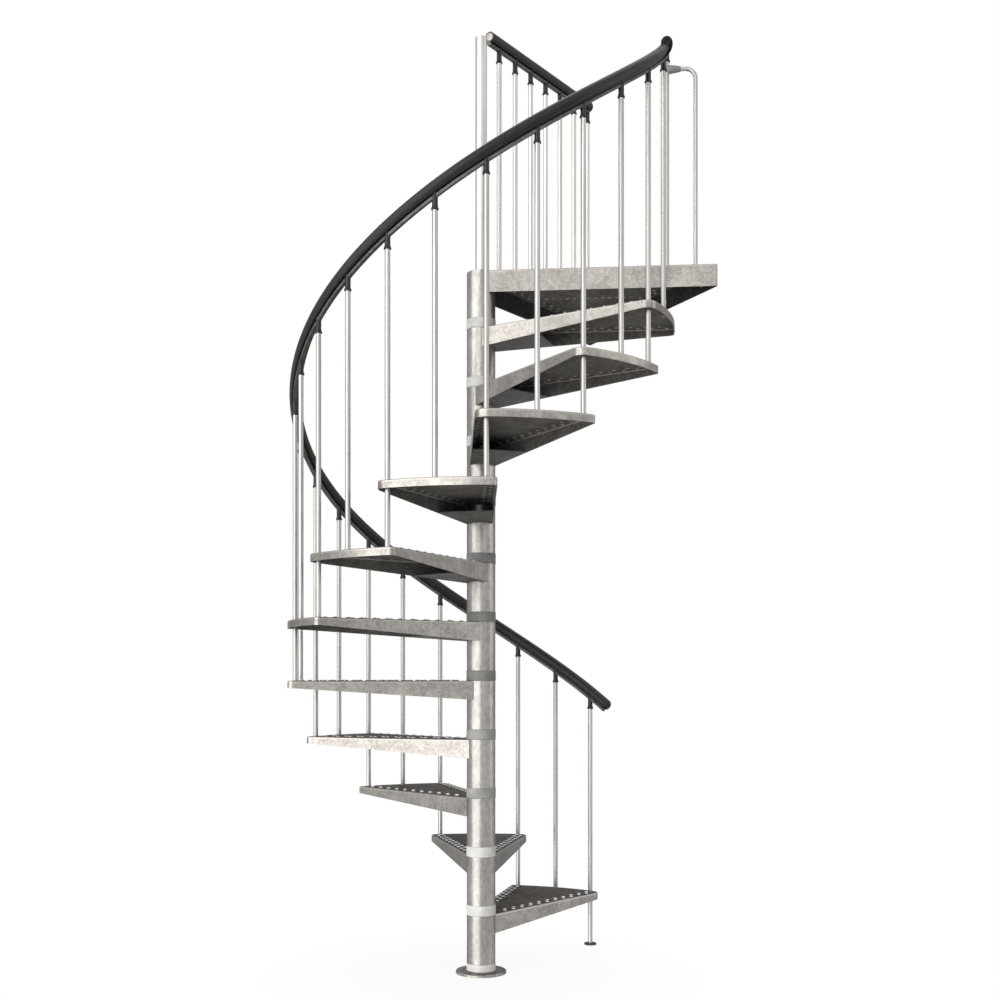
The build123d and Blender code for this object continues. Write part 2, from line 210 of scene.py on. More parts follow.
screw_profile = [
    (0, -screw_shank_depth), (screw_shank_radius, -screw_shank_depth), (screw_shank_radius, -0.4),
    (screw_head_radius - 0.6, -0.4), (screw_head_radius, 0.3), (screw_head_radius - 0.4, 0.9),
    (screw_head_radius - 2.0, 1.3), (screw_socket_radius + 0.4, screw_head_height),
    (screw_socket_radius, screw_socket_floor), (0, screw_socket_floor),
]
flange_screws = bmesh.new()
for quarter in range(4):
    angle = math.radians(flange_bolt_turn + 90 * quarter)
    way = Vector((math.cos(angle), math.sin(angle), 0))
    spot = way * flange_bolt_circle + Vector((0, 0, flange_thickness))
    turned(flange_screws, screw_profile, Matrix.Translation(spot), 36)
fit_piece("base_flange_screws", flange_screws, [bolt_steel], "galvanised_steel")

# Column. A steel pole inside the treads' hubs, with a moulded grey ring under each hub that sets the
# riser. The lowest ring stands on the base flange.
riser = 215.0
tread_count = 11
ring_radius = 54.0
ring_bore = 50.0
ring_height = 37.0
ring_bevel = 1.0
ring_clearance = 0.2


def moulded(name, colour, paler, rough, grain_scale, grain_depth, specular):
    """Moulded plastic: slow changes of tone from handling and weather, over the mould's fine grain. It is
    paler where the mesh's paleness attribute is set, which along the rail paints streaks of reflection
    among the moulding's own lines, and its dull skin shines where "polished" is."""
    grain_share = 0.25
    wear_and_sheen_gain = 4
    material = bpy.data.materials.new(name)
    material.use_nodes = True
    tree = material.node_tree
    shader = tree.nodes["Principled BSDF"]
    spot = add_node(tree, "TexCoord").outputs["Object"]
    clouds = add_node(tree, "TexNoise", Vector=spot, Scale=22.0, Detail=4.0, Roughness=0.6).outputs["Fac"]
    grain = add_node(tree, "TexNoise", Vector=spot, Scale=grain_scale, Detail=2.0).outputs["Fac"]
    tone = mixed(tree, grain_share, clouds, grain)
    ramp = tone_ramp(tree, tone, 0.38, colour, 0.66, paler)
    tree.links.new(paler_for_wear_and_sheen(tree, ramp, paler, wear_and_sheen_gain), shader.inputs["Base Color"])
    gloss = add_node(tree, "MapRange", Value=clouds, From_Min=0.3, From_Max=0.7,
                     To_Min=rough - 0.06, To_Max=rough + 0.08)
    tree.links.new(gloss.outputs["Result"], shader.inputs["Roughness"])
    bump = add_node(tree, "Bump", Height=grain, Strength=0.25, Distance=grain_depth)
    tree.links.new(bump.outputs["Normal"], shader.inputs["Normal"])
    edge = add_node(tree, "LayerWeight", Blend=0.5).outputs["Facing"]
    sheen = add_node(tree, "MapRange", Value=edge, From_Min=0.3, From_Max=0.8, To_Min=specular, To_Max=0)
    polished = tree.nodes.new("ShaderNodeAttribute")
    polished.attribute_name = "polished"
    level = mixed(tree, polished.outputs["Fac"], sheen.outputs["Result"], specular)
    tree.links.new(level, shader.inputs["Specular IOR Level"])
    return material


# Each ring has its own tone: palest at the foot of the column, pale near the top and greyest in the middle.
ring_tones = {
    "ring_grey": (range(5, 9), (0.22, 0.211, 0.20), (0.33, 0.318, 0.304)),
    "ring_mid_tone": ((3, 4), (0.32, 0.31, 0.297), (0.45, 0.438, 0.42)),
    "ring_pale": ((9, 10, 11), (0.57, 0.555, 0.538), (0.76, 0.743, 0.72)),
    "ring_palest": ((0, 1, 2), (0.70, 0.679, 0.652), (0.90, 0.881, 0.852)),
}
ring_plastics = [moulded(name, low, high, 0.55, 900.0, 0.0004, 0.3)
                 for name, (_, low, high) in ring_tones.items()]
rings = bmesh.new()
for step in range(tread_count + 1):
    ring_bottom = max(step * riser, flange_thickness + ring_clearance)
    ring_top = step * riser + ring_height
    turned(rings, [(ring_bore, ring_bottom), (ring_radius - ring_bevel, ring_bottom),
                   (ring_radius, ring_bottom + ring_bevel), (ring_radius, ring_top - ring_bevel),
                   (ring_radius - ring_bevel, ring_top), (ring_bore, ring_top)],
           segments=96, closed=True, slot=[step in steps for steps, _, _ in ring_tones.values()].index(True))
fit_piece("column_spacer_rings", rings, ring_plastics, "grey_plastic", "spacer_rings")

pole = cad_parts["centre_pole"]
pole.data.materials.clear()
pole.data.materials.append(dipped_steel)

# Treads. Each is pressed from sheet, with its sides bent down and deeper towards the hub, a plate welded
# across under the hub end, and two staggered rows of raised grip holes along each side. A tube is
# welded to its narrow end and slides over the pole.
tread_turn = 27.8
last_nosing_angle = -30.0
baluster_circle = 678.0
hub_radius = 52.5
hub_bore = 50.0
hub_length = riser - ring_height
hub_overlap = 0.1
sheet = 3.0
bend_radius = 4.5
bend_steps = 4
bend_wear_and_sheen = 0.9
fold_line = 3.0
rim_depth = 27.0
root_depth = 68.0
root_half_width = 48.0
tread_radius = baluster_circle + 28.0
nosing_margin = 36.5
rear_margin = 35.0
nosing_corner = 40.0
rear_corner = 18.0
side_steps, corner_steps, rim_steps = 14, 10, 18
closing_plate_start = 34.0
closing_plate_end = 250.0
closing_plate_hub_radius = 51.0
plate_clearance = 0.3
plate_lift = 0.4
baluster_hole = 10.0
hole_sides = 32
grip_rings = [(8.6, 0.0), (7.3, 2.1), (6.2, 3.7), (5.3, 4.3), (4.3, 4.0)]
grip_sides = 14
grip_wear_and_sheen_height = 3.5
grip_rows_at = ((17.0, 74.0), (37.0, 100.0))
grip_pitch = 52.0
grip_clearance = 26.0
grip_end_margin = 6.0
hub_arc_steps = 16
hub_edge_break = 0.6
washer_radius = 11.0
washer_height = 1.6
bolt_head_radius = 8.0
bolt_head_height = 6.0
top_slot, grip_slot, grip_foot_slot, inside_shift, plate_slot, hub_slot = 1, 2, 3, 4, 8, 9

half_turn = math.radians(tread_turn / 2)
corner_along = baluster_circle * math.cos(half_turn)
corner_across = baluster_circle * math.sin(half_turn)
root_along = math.sqrt(hub_radius ** 2 - root_half_width ** 2)
side_run = math.hypot(corner_along - root_along, corner_across - root_half_width)
side_angle = math.atan2(corner_across - root_half_width, corner_along - root_along)
flange_slope = (root_depth - rim_depth) / (corner_along - hub_radius)
root_bottom = root_depth + flange_slope * hub_radius


def angle_at(step):
    """Degrees round the column at a nosing: 1 is the first tread's and 12 the landing's."""
    return last_nosing_angle - (tread_count + 1 - step) * tread_turn


def straight(start, end, outward, count):
    """Points along a straight side, each with the way its flange faces."""
    return [(start.lerp(end, i / count), outward) for i in range(count + 1)]


def rounded(centre, radius, first, last, count):
    """The same round a corner, between two angles in radians."""
    points = []
    for i in range(count + 1):
        angle = first + (last - first) * i / count
        way = Vector((math.cos(angle), math.sin(angle)))
        points.append((centre + way * radius, way))
    return points


def edges_of(shape, corners):
    """The edges of a closed loop of corners, made where they are missing."""
    pairs = zip(corners, corners[1:] + corners[:1])
    return [shape.edges.get(pair) or shape.edges.new(pair) for pair in pairs]


def fill_sheet(shape, loops, facing, slot):
    """Fills the flat sheet inside the first loop and outside the others."""
    edges = [edge for loop in loops for edge in edges_of(shape, loop)]
    made = bmesh.ops.triangle_fill(shape, use_beauty=True, use_dissolve=False, edges=edges, normal=facing)
    for face in made["geom"]:
        if isinstance(face, bmesh.types.BMFace):
            face.normal_update()
            if face.normal.dot(facing) < 0:
                face.normal_flip()
            face.material_index = slot


def press_sheet(outline, depth_at, hub_way, grips, round_holes, open_span=()):
    """A pressed sheet's outer skin: flat top, bent edge and side flanges, with its holes.

    The outline runs from hub to hub with the flanges' directions. open_span leaves a stretch of the
    flange out, and its corners are returned with the skin.
    """
    shape = bmesh.new()
    wear_and_sheen = shape.verts.layers.float.new("wear_and_sheen")
    rows = []
    for turn_step in range(bend_steps + 1):
        lean = math.pi / 2 * turn_step / bend_steps
        inset = bend_radius * (1 - math.sin(lean))
        drop = bend_radius * (1 - math.cos(lean))
        row = []
        for point, outward in outline:
            spot = point - outward * inset
            row.append(shape.verts.new((spot.x, spot.y, -drop)))
            # Bends are made paler along their turn: wear on the outside, and a painted highlight on the
            # inside, whose materials take a larger gain.
            row[-1][wear_and_sheen] = bend_wear_and_sheen * math.sin(lean)
        rows.append(row)
    for point_depth in (lambda point: bend_radius + fold_line, depth_at):
        rows.append([shape.verts.new((point.x, point.y, -point_depth(point))) for point, _ in outline])
    for number, (high, low) in enumerate(zip(rows, rows[1:])):
        for i in range(len(outline) - 1):
            if number == bend_steps + 1 and i in open_span:
                continue
            shape.faces.new((high[i], low[i], low[i + 1], high[i + 1]))
    hub_arc = []
    inner_radius = hub_radius - hub_overlap
    for i in range(1, hub_arc_steps):
        angle = hub_way * (1 - 2 * i / hub_arc_steps)
        hub_arc.append(shape.verts.new((inner_radius * math.cos(angle), inner_radius * math.sin(angle), 0)))
    loops = [rows[0] + hub_arc]
    for spot in grips:
        rings = []
        for radius, height in grip_rings:
            points = round_of(radius, grip_sides)
            ring = [shape.verts.new((spot.x + x, spot.y + y, height)) for x, y in points]
            # Grips are paler towards their tops: partly wear, partly a painted highlight.
            for corner in ring:
                corner[wear_and_sheen] = min(1.0, height / grip_wear_and_sheen_height)
            rings.append(ring)
        for number, (low, high) in enumerate(zip(rings, rings[1:])):
            for i in range(grip_sides):
                j = (i + 1) % grip_sides
                face = shape.faces.new((low[i], low[j], high[j], high[i]))
                face.material_index = grip_foot_slot if number < 1 else grip_slot
        loops.append(rings[0])
    for spot, radius in round_holes:
        loops.append([shape.verts.new((spot.x + x, spot.y + y, 0)) for x, y in round_of(radius, hole_sides)])
    fill_sheet(shape, loops, Vector((0, 0, 1)), top_slot)
    return shape, rows


def thicken(shape, materials):
    """Gives a pressed skin the sheet's thickness on its inside, whose materials come later in the list."""
    skin = bpy.data.meshes.new("skin")
    shape.to_mesh(skin)
    shape.free()
    for material in materials:
        skin.materials.append(material)
    holder = bpy.data.objects.new("skin", skin)
    bpy.context.scene.collection.objects.link(holder)
    solid = holder.modifiers.new("sheet", "SOLIDIFY")
    solid.thickness = sheet
    solid.offset = -1
    solid.material_offset = inside_shift
    made = bpy.data.meshes.new_from_object(holder.evaluated_get(bpy.context.evaluated_depsgraph_get()))
    bpy.data.objects.remove(holder)
    whole = bmesh.new()
    whole.from_mesh(made)
    return whole


def grip_rows(start, way, inward, length, spots_to_miss):
    """Two staggered rows of grip holes along a side."""
    spots = []
    for inset, reach in grip_rows_at:
        while reach < length:
            spot = start + way * reach + inward * inset
            if all((spot - other).length > grip_clearance for other in spots_to_miss):
                spots.append(spot)
            reach += grip_pitch
    return spots


def slab(shape, outline, bottom_at, thickness, slot):
    """A flat plate with any outline, whose underside follows bottom_at."""
    low = [shape.verts.new((x, y, bottom_at(x))) for x, y in outline]
    high = [shape.verts.new((x, y, bottom_at(x) + thickness)) for x, y in outline]
    faces = [shape.faces.new(low[::-1]), shape.faces.new(high)]
    for i in range(len(outline)):
        j = (i + 1) % len(outline)
        faces.append(shape.faces.new((low[i], low[j], high[j], high[i])))
    for face in faces:
        face.material_index = slot


def hex_bolt(shape, place):
    """Washer and bevelled hexagon head, standing on the place's level plane."""
    top = washer_height + bolt_head_height
    bevel = 0.18 * bolt_head_height
    washer = [(0, 0), (washer_radius, 0), (washer_radius, washer_height), (0, washer_height)]
    turned(shape, washer, place, 24)
    turned(shape, [(0, washer_height), (bolt_head_radius, washer_height), (bolt_head_radius, top - bevel),
                   (bolt_head_radius - 1.6 * bevel, top), (0, top)], place, 6)


tread_outline = []
tread_grips = []
tread_spots = [Vector((corner_along, -corner_across)), Vector((corner_along, corner_across)),
               Vector((baluster_circle, 0))]
for side, margin, corner in ((-1, nosing_margin, nosing_corner), (1, rear_margin, rear_corner)):
    angle = side_angle + math.asin(margin / side_run)
    start = Vector((root_along, side * root_half_width))
    way = Vector((math.cos(angle), side * math.sin(angle)))
    outward = Vector((-math.sin(angle), side * math.cos(angle)))
    inner_start = start - outward * corner
    along = -inner_start.dot(way)
    along += math.sqrt(along ** 2 - inner_start.length_squared + (tread_radius - corner) ** 2)
    centre = inner_start + way * along
    way_out = math.atan2(centre.y, centre.x)
    way_side = math.atan2(outward.y, outward.x)
    straight_side = straight(start, start + way * along, outward, side_steps)
    corner_points = rounded(centre, corner, way_side, way_out, corner_steps)[1:]
    if side < 0:
        tread_outline = straight_side + corner_points
        arc_start = way_out
    else:
        tread_outline += rounded(Vector((0, 0)), tread_radius, arc_start, way_out, rim_steps)[1:-1]
        tread_outline += (straight_side + corner_points)[::-1]
    tread_grips += grip_rows(start, way, -outward, along - grip_end_margin, tread_spots)


def tread_depth(point):
    """Depth of the side flanges, which taper from the hub out to the balusters."""
    return max(rim_depth, root_bottom - flange_slope * point.x)


# The tread's top is a much darker copy of the zinc than its flanges: painted shade, as the tops catch little
# light.
shaded_top_zinc = galvanised("tread_top_painted_shade", (0.072, 0.064, 0.058), (0.145, 0.132, 0.122), 0.0, 0.75,
                       specular=0.1)
# The underside, the flanges' inner faces and the closing plate are darker copies of the zinc: painted shade.
shaded_underside_zinc = galvanised("tread_underside_painted_shade", (0.116, 0.106, 0.097), (0.222, 0.206, 0.19), 0.0, 0.7,
                          specular=0.08, wear_and_sheen_gain=3.0)
shaded_flange_inside = galvanised("flange_inside_painted_shade", (0.137, 0.127, 0.117), (0.24, 0.225, 0.209), 0.0, 0.65,
                           specular=0.1, wear_and_sheen_gain=3.0)
shaded_plate_zinc = galvanised("closing_plate_painted_shade", (0.148, 0.138, 0.128), (0.228, 0.216, 0.203), 0.0, 0.65,
                        specular=0.15)
# The grips' inner walls are a pale copy of the zinc: painted light, as if shining through their holes.
lit_grip_wall = galvanised("grip_wall_painted_light", (0.38, 0.364, 0.342), (0.58, 0.56, 0.53), 0.0, 0.6,
                         specular=0.15)
# The grips themselves are far paler than the flanges: partly wear, partly a painted highlight.
grip_wear_and_highlight = galvanised("grip_wear_and_highlight", (0.56, 0.537, 0.51), (0.80, 0.78, 0.75), 0.2, 0.4, specular=0.3)
hub_zinc = galvanised("hub_zinc", (0.255, 0.242, 0.228), (0.36, 0.344, 0.325), 0.82, 0.29, (1, 1, 0.5),
                      grain=0.0)
tread_materials = [dipped_steel, shaded_top_zinc, grip_wear_and_highlight, shaded_top_zinc,
                   shaded_flange_inside, shaded_underside_zinc, lit_grip_wall, lit_grip_wall, shaded_plate_zinc, hub_zinc]

skin, _ = press_sheet(tread_outline, tread_depth, math.atan2(root_half_width, root_along), tread_grips,
                      [(tread_spots[0], baluster_hole)])
tread_form = thicken(skin, tread_materials)

plate_spread = math.tan(side_angle + math.asin(rear_margin / side_run))
plate_side = [(x, root_half_width + plate_spread * (x - root_along) - sheet - plate_clearance)
              for x in (closing_plate_start, closing_plate_end)]
plate_hub = [(closing_plate_hub_radius * math.cos(a), closing_plate_hub_radius * math.sin(a))
             for a in (0.85, 0.6, 0.3, 0, -0.3, -0.6, -0.85)]
slab(tread_form, [(x, -y) for x, y in plate_side] + plate_side[::-1] + plate_hub,
     lambda x: -root_bottom + flange_slope * x + plate_lift, sheet, plate_slot)
turned(tread_form, [(hub_bore, -hub_length), (hub_radius - hub_edge_break, -hub_length),
                    (hub_radius, -hub_length + hub_edge_break), (hub_radius, -hub_edge_break),
                    (hub_radius - hub_edge_break, 0), (hub_bore, 0)], segments=96, closed=True, slot=hub_slot)

tread_bolts = bmesh.new()
for step in range(1, tread_count + 1):
    place = Matrix.Translation((0, 0, step * riser))
    place = place @ Matrix.Rotation(math.radians(angle_at(step + 0.5)), 4, "Z")
    tread = tread_form.copy()
    tread.transform(place)
    fit_piece(f"pressed_tread_{step:02d}", tread, tread_materials, "galvanised_steel", f"tread_{step:02d}")
    for spot in tread_spots[1:]:
        under = Matrix.Translation((spot.x, spot.y, -sheet)) @ Matrix.Rotation(math.pi, 4, "X")
        hex_bolt(tread_bolts, place @ under)
tread_form.free()
fit_piece("tread_fixing_bolts", tread_bolts, [bolt_steel], "galvanised_steel")

# Balusters. Drawn steel tube, dipped in zinc. Each nosing's stands on the tread below and passes up
# through its own tread, and one more stands on the middle of each tread. The first stands on the floor,
# with a disc as its foot, and the last on the landing.
baluster_radius = 9.0
cap_bottom = 745.0
foot_radius = 25.0
foot_height = 7.0
foot_edge_break = 0.8
foot_bevel = 1.6
tube_edge_break = 0.4
landing_rise = 210.0
landing_top = tread_count * riser + landing_rise

drawn_tube = galvanised("drawn_tube", (0.345, 0.333, 0.32), (0.42, 0.407, 0.39), 0.82, 0.31, (1, 1, 0.06),
                        grain=0.0)


def on_circle(step, height):
    """Where a baluster's axis is at a height."""
    angle = math.radians(angle_at(step))
    return Vector((baluster_circle * math.cos(angle), baluster_circle * math.sin(angle), height))


def tube_profile(radius, length):
    """An upright tube's outside, with its ends eased."""
    eased = radius - tube_edge_break
    return [(0, 0), (eased, 0), (radius, tube_edge_break), (radius, length - tube_edge_break),
            (eased, length), (0, length)]


for half_step in range(2, 2 * (tread_count + 1) + 1):
    step = half_step / 2
    at_nosing = half_step % 2 == 0
    bottom = (step - 1) * riser if at_nosing else (step - 0.5) * riser
    if step == tread_count + 1:
        bottom = landing_top
    post = bmesh.new()
    place = Matrix.Translation(on_circle(step, bottom))
    turned(post, tube_profile(baluster_radius, step * riser + cap_bottom - bottom), place, 32)
    if step == 1:
        # The foot takes the tread tops' darker zinc: painted shade as on the tops.
        turned(post, [(0, 0), (foot_radius - foot_edge_break, 0), (foot_radius, foot_edge_break),
                      (foot_radius, foot_height - foot_bevel), (foot_radius - foot_bevel, foot_height),
                      (0, foot_height)], place, slot=1)
    kind = "nosing" if at_nosing else "middle"
    fit_piece(f"{kind}_tube_{int(step):02d}", post, [drawn_tube, shaded_top_zinc], "galvanised_tube",
              f"{kind}_baluster_{int(step):02d}")

# Stair handrail. A moulded black profile, pushed onto a steel strip that runs on edge over the balusters
# and is wound with them round the column. A dark gap is left between body and strip.
rail_height = 818.0
rail_radius = 21.0
rail_lead = 0.248
rail_steps = 180
rail_end_steps = 14
body_depth = 18.0
strip_depth = 30.5
strip_top = -20.9
crown_start = 0.5
crown_blend = 0.3
polish_margin = 8
polish_fade = 40
climb = math.atan2(riser, baluster_circle * math.radians(tread_turn))
rail_half_section = [
    (0, -strip_depth), (6.2, -strip_depth), (7.0, -29.7), (7.0, -21.6), (6.4, -21.0), (5.0, -20.8),
    (5.0, -18.6), (6.0, -body_depth), (12.6, -body_depth), (14.0, -17.3), (15.6, -15.4), (17.6, -12.2),
    (19.3, -8.4), (20.5, -4.2),
]
rail_half_section += round_of(rail_radius, 36)[:9] + [(0, rail_radius)]
rail_section = rail_half_section + [(-x, y) for x, y in rail_half_section[-2:0:-1]]
# how pale each corner of the section is painted, from the strip up to the crown: the moulding's lengthwise
# lines and painted reflections along it
rail_lines_and_sheen = [0, 0, 0, 0, 0, 0, 0, 0, 0.1, 0.6, 0, 0.4, 0, 0.3, 0, 0.5, 0, 0.25, 0, 0.9, 0.1, 0.5, 0, 0.2]
rail_lines_and_sheen += rail_lines_and_sheen[-2:0:-1]


def sweep_section(shape, places, section, wrap=True, shine=lambda row: 0.0):
    """Carries a section along the places, each a (point, sideways, upwards) triple. Where the mesh has the
    paleness attribute, each corner takes its rail streak: painted reflections among the moulding's lines.
    A rail's crown is polished by hands, as far as shine says for each row."""
    rows = [[shape.verts.new(point + side * x + up * y) for x, y in section] for point, side, up in places]
    count = len(section)
    wear_and_sheen = shape.verts.layers.float.get("wear_and_sheen")
    if wear_and_sheen:
        polished = shape.verts.layers.float["polished"]
        for number, row in enumerate(rows):
            for corner, streak, (_, height) in zip(row, rail_lines_and_sheen, section):
                corner[wear_and_sheen] = streak
                crown = max(0.0, height / rail_radius - crown_start) / crown_blend
                corner[polished] = shine(number) * min(1.0, crown)
    for near, far in zip(rows, rows[1:]):
        for i in range(count if wrap else count - 1):
            j = (i + 1) % count
            face = shape.faces.new((near[i], near[j], far[j], far[i]))
            face.material_index = 1 if section[i][1] < strip_top and section[j][1] < strip_top else 0
    return rows


def round_off(shape, point, side, up, outward):
    """Rounds a rail's end off by turning half of its section about the upright line there."""
    turns = [math.pi * i / rail_end_steps for i in range(rail_end_steps + 1)]
    sweep_section(shape, [(point, side * math.cos(a) + outward * math.sin(a), up) for a in turns],
                  rail_half_section, wrap=False)


def weld(shape):
    """Joins the edges that lie on each other and turns every face outwards."""
    bmesh.ops.remove_doubles(shape, verts=shape.verts[:], dist=0.01)
    bmesh.ops.recalc_face_normals(shape, faces=shape.faces[:])


rail_black = moulded("rail_black", (0.0085, 0.0078, 0.0075), (0.0195, 0.018, 0.0174), 0.28, 1500.0, 0.0002,
                     0.17)
strip_grey = galvanised("rail_strip", (0.09, 0.088, 0.086), (0.17, 0.167, 0.163), 0.3, 0.5, specular=0.2)
rail_places = []
for i in range(rail_steps + 1):
    step = 1 - rail_lead + (tread_count + rail_lead) * i / rail_steps
    angle = math.radians(angle_at(step))
    outwards = Vector((math.cos(angle), math.sin(angle), 0))
    ahead = Vector((-math.sin(angle) * math.cos(climb), math.cos(angle) * math.cos(climb), math.sin(climb)))
    rail_places.append((on_circle(step, step * riser + rail_height), -outwards, outwards.cross(ahead), ahead))
rail = bmesh.new()
rail.verts.layers.float.new("wear_and_sheen")
rail.verts.layers.float.new("polished")
sweep_section(rail, [place[:3] for place in rail_places], rail_section,
              shine=lambda row: min(1.0, max(0, rail_steps - row - polish_margin) / polish_fade))
for place, way in ((rail_places[0], -1), (rail_places[-1], 1)):
    round_off(rail, *place[:3], place[3] * way)
weld(rail)
fit_piece("stair_rail_moulding", rail, [rail_black, strip_grey], "black_plastic", "stair_handrail")

# Baluster caps. Moulded in black, each a flared collar on its tube with two prongs that grip the rail's
# strip from both sides, at the rail's slope.
cap_radius = 9.5
cap_flare = 12.5
cap_edge_break = 0.8
cap_neck = 13.0
cap_sides = 32
cap_seat_gap = 0.3
cap_slot_gap = 0.4
prong_inside = 7.4
prong_steps = 5
prong_overlap = 1.0


def add_cap(shape, place, slope, middle_height):
    """A cap on the place's level plane, under a rail that climbs along the place's Y."""
    rise = math.tan(slope)
    seat = middle_height - body_depth / math.cos(slope) - cap_seat_gap
    slot = middle_height - strip_depth / math.cos(slope) - cap_slot_gap
    turned(shape, [(0, 0), (cap_flare - cap_edge_break, 0), (cap_flare, cap_edge_break), (cap_flare, 3.2),
                   (cap_flare - 0.9, 6.4), (cap_radius + 0.7, 9.8), (cap_radius, cap_neck)], place, cap_sides)
    collar = round_of(cap_radius, cap_sides)
    low = [shape.verts.new(place @ Vector((x, y, cap_neck))) for x, y in collar]
    high = [shape.verts.new(place @ Vector((x, y, slot + y * rise))) for x, y in collar]
    for i in range(cap_sides):
        j = (i + 1) % cap_sides
        shape.faces.new((low[i], low[j], high[j], high[i]))
    shape.faces.new(high)
    spread = math.acos(prong_inside / cap_radius)
    for side in (-1, 1):
        angles = [spread * i / prong_steps for i in range(-prong_steps, prong_steps + 1)]
        prong = [(side * cap_radius * math.cos(angle), cap_radius * math.sin(angle)) for angle in angles]
        low = [shape.verts.new(place @ Vector((x, y, slot - prong_overlap + y * rise))) for x, y in prong]
        high = [shape.verts.new(place @ Vector((x, y, seat + y * rise))) for x, y in prong]
        for i in range(len(prong)):
            j = (i + 1) % len(prong)
            shape.faces.new((low[i], low[j], high[j], high[i]))
        shape.faces.new(high)
        shape.faces.new(low)


cap_black = moulded("cap_black", (0.009, 0.009, 0.0094), (0.019, 0.019, 0.0194), 0.32, 1200.0, 0.0002, 0.3)
caps = bmesh.new()
for half_step in range(2, 2 * (tread_count + 1) + 1):
    step = half_step / 2
    place = Matrix.Translation(on_circle(step, step * riser + cap_bottom))
    place = place @ Matrix.Rotation(math.radians(angle_at(step)), 4, "Z")
    add_cap(caps, place, climb, rail_height - cap_bottom)
weld(caps)
fit_piece("forked_caps", caps, [cap_black], "black_plastic", "baluster_caps")

# Landing. A deep three-sided tray pressed like the treads, with four holes in its outer flange for the
# bolts into the upper floor. Its hub is closed by a plate round the newel post.
landing_half_angle = math.radians(30)
landing_depth = 80.0
landing_root_half = 42.0
landing_edge = 725.232
landing_corner = 6.0
landing_side_steps, landing_corner_steps, landing_edge_steps = 16, 6, 18
landing_hub_length = landing_rise - ring_height
hub_lid = 8.0
newel_radius = 21.0
newel_clearance = 0.5
lid_bevel = 0.8
fixing_hole = 6.5
fixing_drop = 50.0
fixing_places = (-360.0, -120.0, 120.0, 360.0)
fixing_sides = 20
edge_grip_reach = 380.0
landing_grip_clearance = 24.0
landing_grip_end_margin = 40.0
inner_row_start = Vector((366.0, 181.0))
inner_row_pitch = 27.5
inner_row_count = 13

landing_root_along = math.sqrt(hub_radius ** 2 - landing_root_half ** 2)
landing_outline = []
landing_grips = []
for side in (-1, 1):
    way = Vector((math.cos(landing_half_angle), side * math.sin(landing_half_angle)))
    outward = Vector((-math.sin(landing_half_angle), side * math.cos(landing_half_angle)))
    start = way * landing_root_along + outward * landing_root_half
    centre_x = landing_edge - landing_corner
    inner_start = start - outward * landing_corner
    along = (centre_x - inner_start.x) / way.x
    centre = inner_start + way * along
    side_points = straight(start, start + way * along, outward, landing_side_steps)
    way_side = math.atan2(outward.y, outward.x)
    corner_points = rounded(centre, landing_corner, way_side, 0, landing_corner_steps)[1:]
    if side < 0:
        landing_outline = side_points + corner_points
        edge_start = corner_points[-1][0]
        span_start = len(landing_outline) - 1
    else:
        edge_end = corner_points[-1][0]
        outer = straight(edge_start, edge_end, Vector((1, 0)), landing_edge_steps)[1:-1]
        landing_outline += outer
        span = range(span_start, len(landing_outline))
        landing_outline += (side_points + corner_points)[::-1]
    landing_grips += grip_rows(start, way, -outward, along - landing_grip_end_margin, [])


def clear_of_grips(spot):
    """Whether a grip can stand here, away from those that the landing has so far."""
    return all((spot - other).length > landing_grip_clearance for other in landing_grips)


for row, (inset, _) in enumerate(grip_rows_at):
    across = -edge_grip_reach + grip_pitch / 2 * row
    while across <= edge_grip_reach:
        spot = Vector((landing_edge - inset, across))
        if clear_of_grips(spot):
            landing_grips.append(spot)
        across += grip_pitch
near_side = Vector((math.cos(landing_half_angle), -math.sin(landing_half_angle)))
inner_row = [inner_row_start + near_side * inner_row_pitch * i for i in range(inner_row_count)]
landing_grips += [spot for spot in inner_row if clear_of_grips(spot)]

# The landing's flanges are darker still on their inner faces: painted shade.
shaded_landing_inside = galvanised("landing_inside_painted_shade", (0.055, 0.05, 0.046), (0.11, 0.103, 0.095), 0.0, 0.75,
                            specular=0.08, wear_and_sheen_gain=3.0)
landing_materials = tread_materials.copy()
landing_materials[inside_shift] = shaded_landing_inside
skin, rows = press_sheet(landing_outline, lambda point: landing_depth,
                         math.atan2(landing_root_half, landing_root_along) + landing_half_angle,
                         landing_grips, [], span)
upper, lower = rows[-2], rows[-1]
first, last = span.start, span.stop
holes = []
for across in fixing_places:
    points = round_of(fixing_hole, fixing_sides)
    holes.append([skin.verts.new((landing_edge, across + x, -fixing_drop + y)) for x, y in points])
fill_sheet(skin, [upper[first:last + 1] + lower[first:last + 1][::-1]] + holes, Vector((1, 0, 0)), 0)
landing_form = thicken(skin, landing_materials)
lid_hole = newel_radius + newel_clearance
turned(landing_form, [(hub_bore, -landing_hub_length), (hub_radius - hub_edge_break, -landing_hub_length),
                      (hub_radius, -landing_hub_length + hub_edge_break), (hub_radius, -lid_bevel),
                      (hub_radius - lid_bevel, 0), (lid_hole, 0), (lid_hole, -hub_lid), (hub_bore, -hub_lid)],
       segments=96, closed=True, slot=hub_slot)
landing_form.transform(Matrix.Translation((0, 0, landing_top)))
fit_piece("pressed_landing", landing_form, landing_materials, "galvanised_steel", "landing")

# Newel post and landing balusters. Tubes as on the flight: the post stands on the pole's top and goes
# through the landing's hub, and seven balusters stand on the landing along its side.
newel_top = landing_top + 870.0
newel_bottom = landing_top - hub_lid
landing_rail_height = 892.0
landing_cap_bottom = 819.0
post_count = 7
post_first = 118.0
landing_side = landing_edge / math.cos(landing_half_angle)
post_last = landing_side - 70.0
rail_way = Vector((math.cos(landing_half_angle), math.sin(landing_half_angle), 0))
rail_across = Vector((-rail_way.y, rail_way.x, 0))
up = Vector((0, 0, 1))

